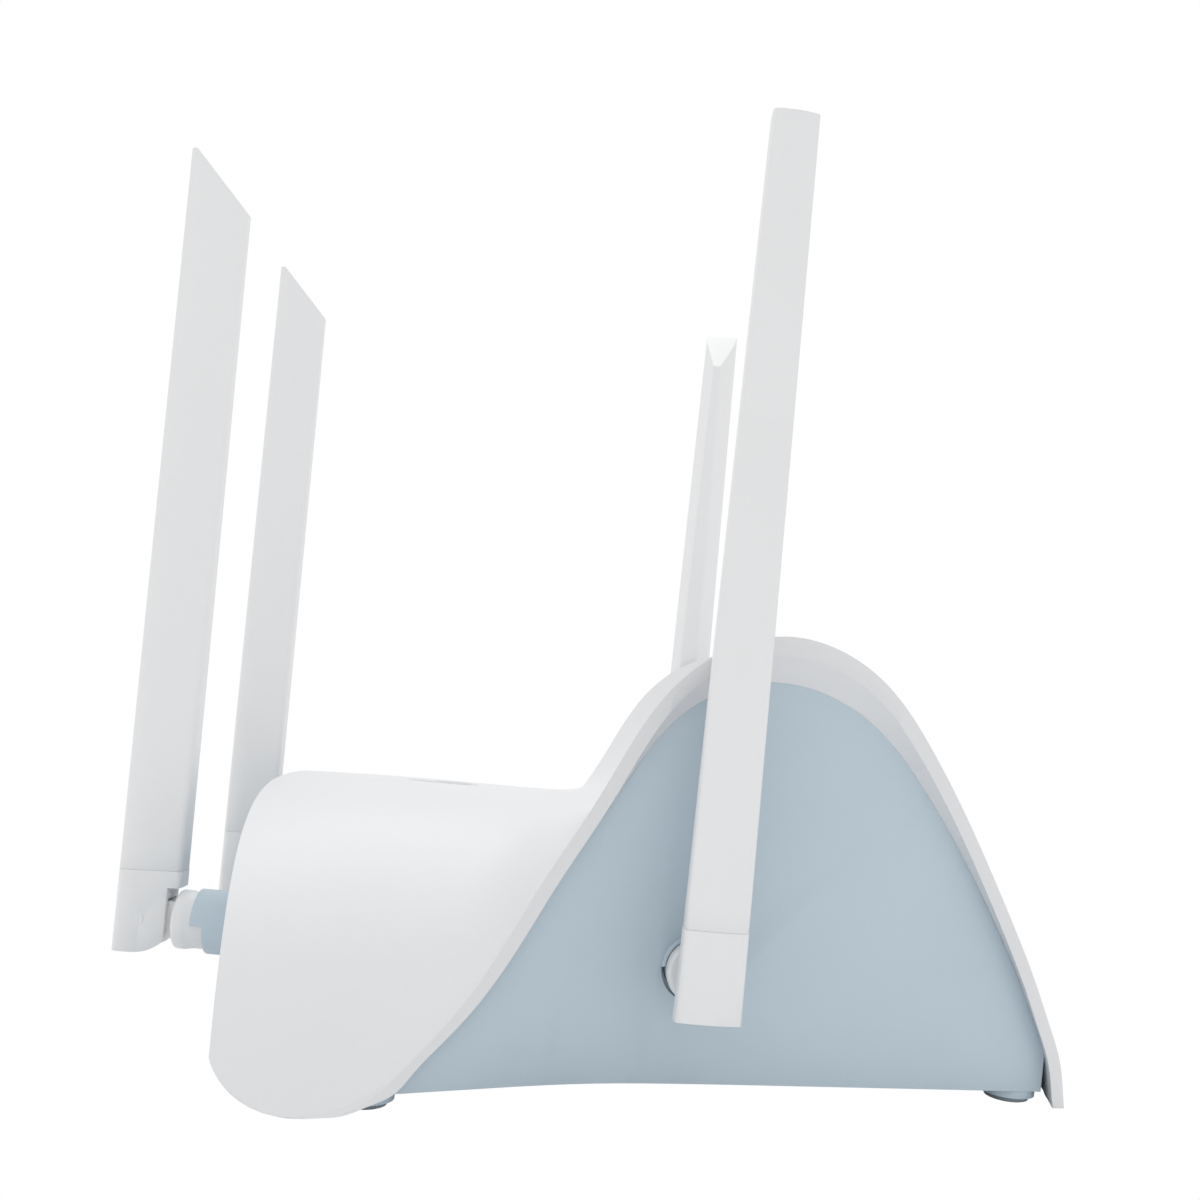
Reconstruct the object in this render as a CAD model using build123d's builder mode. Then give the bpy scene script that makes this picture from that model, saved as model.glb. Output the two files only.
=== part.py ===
"""Free-standing four-antenna Wi-Fi router with a saddle-shaped cover.

Millimetres, +Z up. X runs from the rear ports (-X) to the front lip (+X), Y = 0 is the plane of
symmetry. The pieces are drawn about the middle of the saddle, and finish() moves them all so that the origin
lies on the ground under the middle of the whole object.
"""
import math
import os

from build123d import *

os.makedirs("parts", exist_ok=True)

# ---- driving dimensions: cover -------------------------------------------------------------
cover_front = 113.0          # origin to the front lip
cover_rear = 75.0            # origin to the middle of the rear edge
rear_edge_radius = 350.0     # plan radius of the rear edge
bend_x = 5.0                 # where the side edge bends in plan
bend_half_width = 67.2       # half width there, before the bend's own bulge
bend_length = 12.0           # softness of that bend
front_taper = 0.25           # how fast the side edge closes towards the front
rear_taper = 0.55            # how fast it opens towards the rear lobes
arch_height = 94.6           # top of each side arch
saddle_height = 54.0         # level middle of the cover
cross_power = 2.5            # how late the cover turns up or down towards its side edge
cover_wall = 2.7
side_thinning = 0.35         # share of the side slope that the wall thickness follows
lobe_radius = 20.0           # rounding of each rear lobe in side view
lobe_rear = 64.0             # origin to the rear of that rounding
floor_gap = 0.5              # cover edge to the ground
seat_gap = 0.05              # cover ceiling to wall

# side edge in side view: shares of the cover's front or rear reach, and of the arch height
rim_line = [(-1.20, 0.19), (-0.85, 0.05), (-0.66, 0.004), (-0.54, 0.006), (-0.463, 0.032), (-0.407, 0.074),
            (-0.314, 0.161), (-0.253, 0.228), (-0.107, 0.449), (0.010, 0.627), (0.133, 0.884), (0.31, 1.0),
            (0.50, 0.934), (0.607, 0.800), (0.703, 0.632), (0.789, 0.459), (0.869, 0.283), (0.904, 0.194),
            (0.935, 0.104), (0.946, 0.040), (0.957, -0.030), (0.99, -0.22), (1.06, -0.60)]
# middle line: shares of the same reaches, and of the saddle height
saddle_line = [(-1.20, 0.960), (-0.63, 1.0), (0.0, 1.0), (0.265, 0.985), (0.53, 0.93), (0.752, 0.78),
               (0.885, 0.50), (0.955, 0.25), (1.0, 0.018), (1.06, -0.36)]
# lower corner of the side edge, where the rear lobe thins out: same shares as rim_line
trim_line = [(-0.58, 0.0053), (-0.50, 0.0095), (-0.468, 0.019), (-0.403, 0.043), (-0.371, 0.075),
             (-0.311, 0.132), (-0.249, 0.191), (-0.107, 0.385)]

# ---- driving dimensions: wall, base and feet -----------------------------------------------
wall_inset = 3.3             # cover edge to wall, at the sides
rear_inset = 7.0             # cover edge to wall, at the rear
front_inset = 5.0            # cover lip to wall, at the front
front_sag = 5.1              # arch of the front edge, in plan
wall = 2.2
wall_bottom = 3.0
base_thickness = 2.0
ledge = 2.0
ledge_height = 1.5
fit_gap = 0.2                # clearance between pieces that drop into each other
foot_diameter = 9.6
foot_height = 1.2
plinth_diameter = 11.8       # raised disc of the base above each foot
foot_inset = 9.6             # cover edge to the middle of a foot
pillar_diameter = 7.0
pillar_inset = 27.5          # cover edge to the middle of a screw pillar
pillar_hole_depth = 12.0
pillar_pilot = 2.4
screw_diameter = 2.4
screw_head = 5.0
screw_head_height = 1.4
vent_width = 2.0
vent_length = 34.0
vent_pitch = 5.0
keyhole_span = 60.0          # wall-mounting keyholes, centre to centre
keyhole_head = 7.5
keyhole_slot = 3.8
keyhole_x = 20.0
recess_x = -37.0             # shallow recess for the status light, on the ridge
recess_length = 17.0
recess_width = 7.0
recess_depth = 1.2
lens_diameter = 2.4
lens_tail = 2.0

# ---- driving dimensions: board and what it carries ------------------------------------------
board_thickness = 1.6
board_length = 56.0
board_width = 118.0
standoff = 3.0
board_gap = 1.5              # board edge to the rear wall
port_pitch = 14.0
port_count = 4
port_depth = 17.5
port_height = 13.2
port_opening = (11.8, 7.0)   # width and height of the plug opening
latch_opening = (6.2, 3.4)
port_cavity = 13.5
contact_pitch = 1.02
contact_count = 8
contact_width = 0.4
shield_wall = 0.3
inlet_size = (14.0, 9.0, 11.0)
inlet_bore = 5.5
inlet_height = 6.2           # board to the middle of the bore
inlet_pin = 2.1
button_diameter = 3.6
button_travel = 0.6
button_play = 0.15
button_height = 3.0          # board to the middle of a button

# ---- driving dimensions: antennas -----------------------------------------------------------
antenna_length = 172.5
blade_foot_width = 13.0
blade_tip_width = 9.2
blade_depth = 13.0
blade_crown = 0.7
ridge_foot = 6.4
ridge_tip = 1.8
tip_flat = 1.8
tip_slope = 47.0
knuckle_depth = 10.6
pin_from_bottom = 6.9
pin_from_face = 5.3
seam_height = 17.5
shoulder_height = 7.0        # full blade depth starts this far above the pin
pin_diameter = 2.4
pin_fit = 0.05
tongue_width = 4.6
tongue_height = 8.0
tongue_gap = 0.4
disc_diameter = 12.7
disc_thickness = 2.5
cone_length = 1.5
disc_gap = 0.3
neck_reach = 11.5            # collar face to pin
collar_diameter = 13.8
collar_length = 20.0
collar_notch = 2.7
stem_diameter = 12.0
stem_length = 4.7
shaft_diameter = 8.0
shaft_fit = 0.08
clip_diameter = 10.0
clip_thickness = 1.7
lead_bore = 3.0
lead_diameter = 1.3
lead_bend = 4.0
lead_reach = 14.0            # the lead runs straight this far past its collar
radiator_size = (4.5, 0.6, 105.0)
pin_length = 11.2
rear_spacing = 77.0          # between the two rear antennas
rear_pivot_height = 22.0
rear_collar_face = 82.7      # origin to the face of the rear collars
side_collar_x = 23.9
side_pivot_height = 26.5
side_turn = 7.0              # the side antennas face this far towards the front
side_collar_proud = 1.6


def finish(builder, name, place=Location()):
    """Label one finished piece, put it in its place and write it out."""
    object_middle = (cover_front - rear_collar_face - neck_reach - pin_from_face) / 2
    piece = builder.part.moved(Location((-object_middle, 0, 0)) * place)
    piece.label = name
    export_step(piece, f"parts/{name}.step")


def reach(share):
    """Turn a share of the cover's front or rear reach into X."""
    return share * (cover_front if share > 0 else cover_rear)


def smooth_line(stations, height):
    """A smooth line in side view through shares of reach and height."""
    return Edge.make_spline([Vector(reach(x), 0, z * height) for x, z in stations])


def height_at(line, x):
    """Height of a side-view line at x, found by halving."""
    low, high = 0.0, 1.0
    while high - low > 1e-7:
        middle = (low + high) / 2
        if (line @ middle).X < x:
            low = middle
        else:
            high = middle
    return (line @ low).Z


def rim_half_width(x):
    """Half width of the cover: two straight tapers joined by a soft bend."""
    run = x - bend_x
    mean = (front_taper + rear_taper) / 2
    spread = (rear_taper - front_taper) / 2
    return bend_half_width - mean * run + spread * math.hypot(run, bend_length)


def rear_x(y, inset=0.0):
    """X of the arched rear edge, or of the wall set in from it."""
    return inset - cover_rear + y * y / (2 * rear_edge_radius)


rim_curve = smooth_line(rim_line, arch_height)
saddle_curve = smooth_line(saddle_line, saddle_height)


def cover_face(below):
    """The cover's upper face, or its ceiling, found by rolling a ball of radius below along the face."""
    columns = 49
    crowding = 0.6           # how much closer the columns stand towards the front lip
    rows = 33
    turns = [math.radians(15 * k) for k in range(-6, 7)] if below else [0.0]
    first = reach(-1.14)
    last = reach(1.03)
    grid = []
    for i in range(columns):
        share = i / (columns - 1)
        x = first + (last - first) * ((1 - crowding) * share + crowding * math.sin(math.pi / 2 * share))
        middles = [height_at(saddle_curve, x + below * math.sin(turn)) for turn in turns]
        rims = [height_at(rim_curve, x + below * math.sin(turn)) for turn in turns]
        width = rim_half_width(x)
        line = []
        for j in range(rows):
            across = 1.06 * (2 * j / (rows - 1) - 1)
            share = abs(across) ** cross_power
            rise = rims[len(turns) // 2] - middles[len(turns) // 2]
            slope = cross_power * rise / width * abs(across) ** (cross_power - 1)
            swell = math.sqrt(1 + side_thinning * slope ** 2)
            heights = [middle + (rim - middle) * share - swell * below * math.cos(turn)
                       for middle, rim, turn in zip(middles, rims, turns)]
            line.append(Vector(x, across * width, min(heights)))
        grid.append(line)
    return Face.make_surface_from_array_of_points(grid, tol=0.005)


def plan_outline(side_inset, rear_inset_here, front_end, steps=9):
    """Closed plan outline, set in from the cover's edge, with an arched front end."""
    rear_corner = -lobe_rear
    for _ in range(8):
        rear_corner = rear_x(rim_half_width(rear_corner) - side_inset, rear_inset_here)
    front_corner = front_end - front_sag
    side = []
    for i in range(steps):
        x = rear_corner + (front_corner - rear_corner) * i / (steps - 1)
        side.append((x, rim_half_width(x) - side_inset))
    half = side[0][1]
    front_half = side[-1][1]
    with BuildSketch() as outline:
        with BuildLine():
            ThreePointArc((rear_corner, -half), (rear_x(0, rear_inset_here), 0), (rear_corner, half))
            Spline(side)
            ThreePointArc((front_corner, front_half), (front_end, 0), (front_corner, -front_half))
            Spline([(x, -y) for x, y in reversed(side)])
        make_face()
    return outline.sketch


crown_face = cover_face(0.0)
ceiling_face = cover_face(cover_wall)
seat_face = ceiling_face.moved(Location((0, 0, -seat_gap)))
tall = 2 * arch_height
pillar_places = []
for pillar_x in (-0.55 * cover_rear, 0.64 * cover_front):
    pillar_y = rim_half_width(pillar_x) - pillar_inset
    pillar_places += [(pillar_x, pillar_y), (pillar_x, -pillar_y)]
base_top = wall_bottom + base_thickness
board_bottom = base_top + standoff
board_top = board_bottom + board_thickness
wall_front = cover_front - front_inset
wall_outline = plan_outline(wall_inset, rear_inset, wall_front)
inner_outline = plan_outline(wall_inset + wall, rear_inset + wall, wall_front - wall)

# ---- cover ----------------------------------------------------------------------------------
with BuildPart() as pillars:
    with BuildSketch(Plane.XY.offset(base_top)):
        with Locations(*pillar_places):
            Circle(pillar_diameter / 2)
    extrude(amount=tall)
    with BuildSketch(Plane.XY.offset(base_top)):
        with Locations(*pillar_places):
            Circle(pillar_pilot / 2)
    extrude(amount=pillar_hole_depth, mode=Mode.SUBTRACT)
    extrude(ceiling_face, amount=tall, dir=(0, 0, -1), mode=Mode.INTERSECT)

trim = [(reach(x), z * arch_height) for x, z in trim_line]
with BuildPart() as top_cover:
    add(plan_outline(0.0, 0.0, cover_front + 4.0))
    extrude(amount=tall)
    with BuildSketch(Plane.XZ) as side_view:
        with BuildLine():
            Spline(trim)
            Polyline(trim[-1], (trim[-1][0], floor_gap), (1.2 * cover_front, floor_gap),
                     (1.2 * cover_front, tall), (-1.3 * cover_rear, tall), (-1.3 * cover_rear, 0.9 * saddle_height),
                     (-lobe_rear, 1.1 * lobe_radius), (-lobe_rear, floor_gap), trim[0])
        make_face()
        fillet(side_view.vertices().group_by(Axis.X)[1].sort_by(Axis.Y)[0], lobe_radius)
    extrude(amount=2 * cover_front, both=True, mode=Mode.INTERSECT)
    extrude(crown_face, amount=tall, dir=(0, 0, -1), mode=Mode.INTERSECT)
    extrude(ceiling_face, amount=tall, dir=(0, 0, -1), mode=Mode.SUBTRACT)
    with BuildSketch(Plane.XY.offset(saddle_height - recess_depth)):
        with Locations((recess_x, 0)):
            SlotOverall(recess_length, recess_width)
    extrude(amount=tall, mode=Mode.SUBTRACT)
    with Locations((recess_x, 0, 0)):
        Cylinder(lens_diameter / 2, tall, mode=Mode.SUBTRACT)
    add(pillars.part)
finish(top_cover, "top_cover")

with BuildPart() as status_lens:
    with BuildSketch(Plane.XY.offset(saddle_height - cover_wall - lens_tail)):
        with Locations((recess_x, 0)):
            Circle(lens_diameter / 2)
    extrude(amount=cover_wall + lens_tail - recess_depth)
    with BuildSketch(Plane.XY.offset(saddle_height - cover_wall - lens_tail)):
        with Locations((recess_x, 0)):
            Circle(lens_diameter / 2 + 1.0)
    extrude(amount=lens_tail - fit_gap)
finish(status_lens, "status_lens")

# ---- wall -----------------------------------------------------------------------------------
port_face = rear_x(0, rear_inset)
port_row = port_count * port_pitch + 1.0
port_y = [(i - (port_count - 1) / 2) * port_pitch for i in range(port_count)]
port_middle = board_top + port_height / 2
inlet_y = rear_spacing / 2 + collar_diameter / 2 + inlet_size[1] / 2 + 2.2
inlet_face = rear_x(inlet_y, rear_inset) - 0.4
inlet_z = board_top + inlet_height
button_z = board_top + button_height
wps_y = -(rear_spacing / 2 + collar_diameter / 2 + 4.5)
reset_y = wps_y - 8.0


def mount_frame(x, y, z, heading):
    """Frame of an antenna at the middle of its collar's face: local X points away from the wall."""
    out = (math.cos(math.radians(heading)), math.sin(math.radians(heading)), 0)
    return Plane(origin=(x, y, z), x_dir=out, z_dir=(0, 0, 1))


side_collar_y = rim_half_width(side_collar_x) - wall_inset + side_collar_proud
frames = {
    "rear_left": mount_frame(-rear_collar_face, rear_spacing / 2, rear_pivot_height, 180),
    "rear_right": mount_frame(-rear_collar_face, -rear_spacing / 2, rear_pivot_height, 180),
    "side_left": mount_frame(side_collar_x, side_collar_y, side_pivot_height, 90 - side_turn),
    "side_right": mount_frame(side_collar_x, -side_collar_y, side_pivot_height, side_turn - 90),
}

with BuildPart() as wall_shell:
    with BuildSketch(Plane.XY.offset(wall_bottom)):
        add(wall_outline)
        add(inner_outline, mode=Mode.SUBTRACT)
    extrude(amount=tall)
    with BuildSketch(Plane.XY.offset(base_top)):
        add(inner_outline)
        add(plan_outline(wall_inset + wall + ledge, rear_inset + wall + ledge, wall_front - wall - ledge),
            mode=Mode.SUBTRACT)
    extrude(amount=ledge_height)
    extrude(seat_face, amount=tall, dir=(0, 0, -1), mode=Mode.INTERSECT)
    with BuildSketch(Plane.YZ.offset(port_face - 5)):
        with Locations((0, port_middle)):
            Rectangle(port_row + 2 * fit_gap, port_height + 2 * fit_gap)
        with Locations((inlet_y, board_top + inlet_size[2] / 2)):
            Rectangle(inlet_size[1] + 2 * fit_gap, inlet_size[2] + 2 * fit_gap)
        with Locations((wps_y, button_z), (reset_y, button_z)):
            Circle(button_diameter / 2 + button_play)
    extrude(amount=15, mode=Mode.SUBTRACT)
    for frame in frames.values():
        with BuildSketch(Plane(origin=frame.origin, z_dir=-frame.x_dir)):
            Circle(collar_diameter / 2)
        extrude(amount=collar_length + 1, mode=Mode.SUBTRACT)
finish(wall_shell, "wall_shell")

# ---- base, feet and case screws ---------------------------------------------------------------
foot_places = []
for foot_x in (-0.493 * cover_rear, 0.859 * cover_front):
    foot_y = rim_half_width(foot_x) - foot_inset
    foot_places += [(foot_x, foot_y), (foot_x, -foot_y)]
board_rear = rear_x(board_width / 2, rear_inset + wall) + board_gap
post_x = (board_rear + 22.0, board_rear + board_length - 5.0)
post_places = [(x, side * (board_width / 2 - 5.0)) for x in post_x for side in (1, -1)]

with BuildPart() as base_plate:
    with BuildSketch(Plane.XY.offset(wall_bottom)):
        add(plan_outline(wall_inset + wall + fit_gap, rear_inset + wall + fit_gap, wall_front - wall - fit_gap))
        with Locations(*pillar_places):
            Circle(screw_diameter / 2 + fit_gap, mode=Mode.SUBTRACT)
        with Locations((0.42 * cover_front, 0)):
            with GridLocations(vent_pitch, 1, 9, 1):
                SlotOverall(vent_length, vent_width, rotation=90, mode=Mode.SUBTRACT)
        for side in (1, -1):
            with Locations((keyhole_x, side * keyhole_span / 2)):
                Circle(keyhole_head / 2, mode=Mode.SUBTRACT)
            with Locations((keyhole_x - keyhole_head / 2, side * keyhole_span / 2)):
                SlotCenterToCenter(keyhole_head, keyhole_slot, mode=Mode.SUBTRACT)
    extrude(amount=base_thickness)
    extrude(seat_face, amount=tall, dir=(0, 0, -1), mode=Mode.INTERSECT)
    with BuildSketch(Plane.XY.offset(foot_height)):
        with Locations(*foot_places):
            Circle(plinth_diameter / 2)
    extrude(amount=wall_bottom - foot_height)
    with BuildSketch(Plane.XY.offset(base_top)):
        with Locations(*post_places):
            Circle(3.0)
            Circle(0.9, mode=Mode.SUBTRACT)
    extrude(amount=standoff)
finish(base_plate, "base_plate")

with BuildPart() as feet:
    with BuildSketch():
        with Locations(*foot_places):
            Circle(foot_diameter / 2)
    extrude(amount=foot_height)
    fillet(feet.edges().group_by(Axis.Z)[0], 0.5)
finish(feet, "feet")

with BuildPart() as case_screws:
    with BuildSketch(Plane.XY.offset(wall_bottom - screw_head_height)):
        with Locations(*pillar_places):
            Circle(screw_head / 2)
            RegularPolygon(0.9, 6, mode=Mode.SUBTRACT)
    extrude(amount=screw_head_height)
    with BuildSketch(Plane.XY.offset(wall_bottom)):
        with Locations(*pillar_places):
            Circle(screw_diameter / 2)
    extrude(amount=base_thickness + 8.0)
finish(case_screws, "case_screws")

# ---- board and what it carries ----------------------------------------------------------------
board_middle = board_rear + board_length / 2
with BuildPart() as main_board:
    with BuildSketch(Plane.XY.offset(board_bottom)):
        with Locations((board_middle, 0)):
            RectangleRounded(board_length, board_width, 2.0)
        with Locations(*post_places):
            Circle(1.2, mode=Mode.SUBTRACT)
    extrude(amount=board_thickness)
finish(main_board, "main_board")

with BuildPart() as board_screws:
    with BuildSketch(Plane.XY.offset(board_top)):
        with Locations(*post_places):
            Circle(1.9)
            RegularPolygon(0.7, 6, mode=Mode.SUBTRACT)
    extrude(amount=1.2)
    with BuildSketch(Plane.XY.offset(board_top)):
        with Locations(*post_places):
            Circle(0.9)
    extrude(amount=-(board_thickness + standoff - 0.5))
finish(board_screws, "board_screws")

# name: (middle behind the board's rear edge, middle across, length, width, height)
chips = {
    "radio_shield_can": (34.0, 22.0, 22.0, 30.0, 3.4),
    "processor_shield_can": (34.0, -14.0, 24.0, 26.0, 3.0),
    "memory_chip": (34.0, -36.0, 13.0, 8.0, 1.1),
    "flash_chip": (48.5, 2.0, 5.0, 6.0, 1.6),
    "crystal": (51.0, -8.0, 3.2, 5.0, 0.9),
    "network_transformers": (17.0, -1.0, 9.0, 34.0, 5.2),
}
for chip, (along, aside, length, width, height) in chips.items():
    with BuildPart() as block:
        with BuildSketch(Plane.XY.offset(board_top)):
            with Locations((board_rear + along, aside)):
                RectangleRounded(length, width, 0.4)
        extrude(amount=height)
        chamfer(block.faces().sort_by(Axis.Z)[-1].edges(), 0.25)
    finish(block, chip)

with BuildPart() as capacitors:
    with BuildSketch(Plane.XY.offset(board_top)):
        with Locations((board_rear + 20.0, inlet_y - 9.0), (board_rear + 28.0, inlet_y - 9.0)):
            Circle(3.15)
    extrude(amount=7.0)
    fillet(capacitors.edges().group_by(Axis.Z)[-1], 0.5)
finish(capacitors, "capacitors")

with BuildPart() as status_led:
    with Locations((recess_x, 0, board_top)):
        Box(1.6, 0.8, 0.7, align=(Align.CENTER, Align.CENTER, Align.MIN))
finish(status_led, "status_led")

with BuildPart() as port_block:
    with BuildSketch(Plane.YZ.offset(port_face)):
        with Locations((0, port_middle - shield_wall / 2)):
            Rectangle(port_row - 2 * shield_wall, port_height - shield_wall)
    extrude(amount=port_depth)
    with BuildSketch(Plane.YZ.offset(port_face)):
        for y in port_y:
            with Locations((y, port_middle)):
                Rectangle(*port_opening)
            with Locations((y, port_middle - port_opening[1] / 2)):
                Rectangle(*latch_opening)
    extrude(amount=port_cavity, mode=Mode.SUBTRACT)
finish(port_block, "port_block")

with BuildPart() as port_shield:
    with BuildSketch(Plane.YZ.offset(port_face)):
        with Locations((0, port_middle)):
            Rectangle(port_row, port_height)
        with Locations((0, port_middle - shield_wall / 2)):
            Rectangle(port_row - 2 * shield_wall, port_height - shield_wall, mode=Mode.SUBTRACT)
    extrude(amount=port_depth)
finish(port_shield, "port_shield")


with BuildPart() as port_contacts:
    contact_top = port_middle + port_opening[1] / 2
    for y in port_y:
        for i in range(contact_count):
            with BuildSketch(Plane.XZ.offset(-y - (i - (contact_count - 1) / 2) * contact_pitch)):
                with BuildLine():
                    Polyline((port_face + port_cavity, contact_top), (port_face + 4.0, contact_top),
                             (port_face + 9.5, contact_top - 2.2), (port_face + 9.8, contact_top - 1.8),
                             (port_face + 6.0, contact_top - 0.4), (port_face + port_cavity, contact_top - 0.4),
                             close=True)
                make_face()
            extrude(amount=contact_width / 2, both=True)
finish(port_contacts, "port_contacts")

with BuildPart() as power_inlet:
    with BuildSketch(Plane.YZ.offset(inlet_face)):
        with Locations((inlet_y, board_top + inlet_size[2] / 2)):
            Rectangle(inlet_size[1], inlet_size[2])
    extrude(amount=inlet_size[0])
    with BuildSketch(Plane.YZ.offset(inlet_face)):
        with Locations((inlet_y, inlet_z)):
            Circle(inlet_bore / 2)
    extrude(amount=inlet_size[0] - 4.0, mode=Mode.SUBTRACT)
    fillet(power_inlet.edges().filter_by(Axis.X).group_by(Axis.Z)[-1], 1.0)
finish(power_inlet, "power_inlet")

with BuildPart() as power_inlet_pin:
    with BuildSketch(Plane.YZ.offset(inlet_face + inlet_size[0] - 4.0)):
        with Locations((inlet_y, inlet_z)):
            Circle(inlet_pin / 2)
    extrude(amount=-(inlet_size[0] - 5.5))
    fillet(power_inlet_pin.edges().group_by(Axis.X)[0], 0.5)
finish(power_inlet_pin, "power_inlet_pin")

# ---- buttons ------------------------------------------------------------------------------------
button_tail = wall + 1.4
switch_face = {}
for button, y, proud in (("wps_button", wps_y, 0.9), ("reset_button", reset_y, -0.6)):
    outer = rear_x(y, rear_inset)
    switch_face[button] = outer + button_tail + 1.6 + button_travel
    with BuildPart() as plunger:
        with BuildSketch(Plane.YZ.offset(outer - proud)):
            with Locations((y, button_z)):
                Circle(button_diameter / 2)
        extrude(amount=button_tail + proud)
        with BuildSketch(Plane.YZ.offset(outer + button_tail - 0.8)):
            with Locations((y, button_z)):
                Circle(button_diameter / 2 + 0.9)
        extrude(amount=0.8)
        with BuildSketch(Plane.YZ.offset(outer + button_tail)):
            with Locations((y, button_z)):
                Circle(0.9)
        extrude(amount=1.3)
        fillet(plunger.edges().group_by(Axis.X)[0], 0.4)
    finish(plunger, button)

with BuildPart() as tact_switches:
    for button, y in (("wps_button", wps_y), ("reset_button", reset_y)):
        with BuildSketch(Plane.YZ.offset(switch_face[button])):
            with Locations((y, (board_top + button_z + 2.0) / 2)):
                Rectangle(6.0, button_z + 2.0 - board_top)
        extrude(amount=3.4)
finish(tact_switches, "tact_switches")

# ---- antennas: one shape, four times ------------------------------------------------------------
blade_face = neck_reach + pin_from_face
blade_bottom = -pin_from_bottom
seam = blade_bottom + seam_height
blade_top = blade_bottom + antenna_length
disc_start = disc_gap + cone_length
disc_end = disc_start + disc_thickness


def blade_section(z):
    """Cross-section of the blade at height z: crowned face outwards, narrow ridge inwards."""
    share = (z - blade_bottom) / antenna_length
    half = (blade_foot_width + (blade_tip_width - blade_foot_width) * share) / 2
    ridge_share = max(0.0, (z - seam) / (blade_top - seam))
    ridge = (ridge_foot + (ridge_tip - ridge_foot) * ridge_share) / 2
    with BuildSketch(Plane.XY.offset(z)) as section:
        with BuildLine():
            ThreePointArc((blade_face - blade_crown, -half), (blade_face, 0), (blade_face - blade_crown, half))
            Polyline((blade_face - blade_crown, half), (blade_face - 3.8, 0.98 * half),
                     (blade_face - blade_depth, ridge), (blade_face - blade_depth, -ridge),
                     (blade_face - 3.8, -0.98 * half), (blade_face - blade_crown, -half))
        make_face()
        fillet(section.vertices().group_by(Axis.X)[-1], 1.2)
        fillet(section.vertices().group_by(Axis.X)[0], 0.4 * ridge)
    return section.sketch


with BuildPart() as sleeve:
    add(blade_section(seam))
    add(blade_section(blade_top))
    loft()
    with BuildSketch(Plane.XZ):
        with BuildLine():
            fall = math.tan(math.radians(tip_slope)) * 2 * blade_depth
            Polyline((blade_face - tip_flat, blade_top), (blade_face - tip_flat - 2 * blade_depth, blade_top - fall),
                     (blade_face - tip_flat - 2 * blade_depth, blade_top), close=True)
        make_face()
    extrude(amount=blade_foot_width, both=True, mode=Mode.SUBTRACT)
    with BuildSketch(Plane.XY.offset(seam)):
        with Locations((blade_face - 6.0, 0)):
            Rectangle(radiator_size[0] + 1.0, radiator_size[1] + 1.0)
    extrude(amount=radiator_size[2] + 2.0, mode=Mode.SUBTRACT)

with BuildPart() as radiator:
    with BuildSketch(Plane.XY.offset(seam)):
        with Locations((blade_face - 6.0, 0)):
            Rectangle(radiator_size[0], radiator_size[1])
    extrude(amount=radiator_size[2])

with BuildPart() as knuckle:
    add(blade_section(blade_bottom))
    add(blade_section(seam))
    loft()
    with BuildSketch(Plane.XZ) as side_profile:
        inner_x = blade_face - knuckle_depth
        inner_drop = math.sqrt(pin_from_bottom ** 2 - (neck_reach - inner_x) ** 2)
        turn = math.radians(65)
        with BuildLine():
            Line((neck_reach, blade_bottom), (blade_face + 1, blade_bottom))
            Line((blade_face + 1, blade_bottom), (blade_face + 1, seam))
            Line((blade_face + 1, seam), (blade_face - blade_depth - 1, seam))
            Line((blade_face - blade_depth - 1, seam), (blade_face - blade_depth - 1, shoulder_height))
            Line((blade_face - blade_depth - 1, shoulder_height), (inner_x, shoulder_height))
            Line((inner_x, shoulder_height), (inner_x, -inner_drop))
            ThreePointArc((inner_x, -inner_drop),
                          (neck_reach - pin_from_bottom * math.cos(turn), -pin_from_bottom * math.sin(turn)),
                          (neck_reach, blade_bottom))
        make_face()
    extrude(amount=blade_foot_width, both=True, mode=Mode.INTERSECT)
    with BuildSketch(Plane.XZ):
        slot_radius = tongue_height / 2 + tongue_gap
        with BuildLine():
            Line((-5, slot_radius), (neck_reach, slot_radius))
            ThreePointArc((neck_reach, slot_radius),
                          (neck_reach + slot_radius * math.sqrt(0.5), slot_radius * math.sqrt(0.5)),
                          (neck_reach + slot_radius, 0))
            Line((neck_reach + slot_radius, 0), (neck_reach + slot_radius, -2 * pin_from_bottom))
            Line((neck_reach + slot_radius, -2 * pin_from_bottom), (-5, -2 * pin_from_bottom))
            Line((-5, -2 * pin_from_bottom), (-5, slot_radius))
        make_face()
    extrude(amount=tongue_width / 2 + tongue_gap, both=True, mode=Mode.SUBTRACT)
    with BuildSketch(Plane.XZ):
        with Locations((neck_reach, 0)):
            Circle(pin_diameter / 2)
    extrude(amount=pin_length / 2, both=True, mode=Mode.SUBTRACT)
    fillet(knuckle.edges().filter_by(Axis.Y).group_by(Axis.Z)[0].sort_by(Axis.X)[-1], 0.6)

with BuildPart() as hinge_pin:
    with BuildSketch(Plane.XZ):
        with Locations((neck_reach, 0)):
            Circle(pin_diameter / 2)
    extrude(amount=pin_length / 2, both=True)

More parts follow.
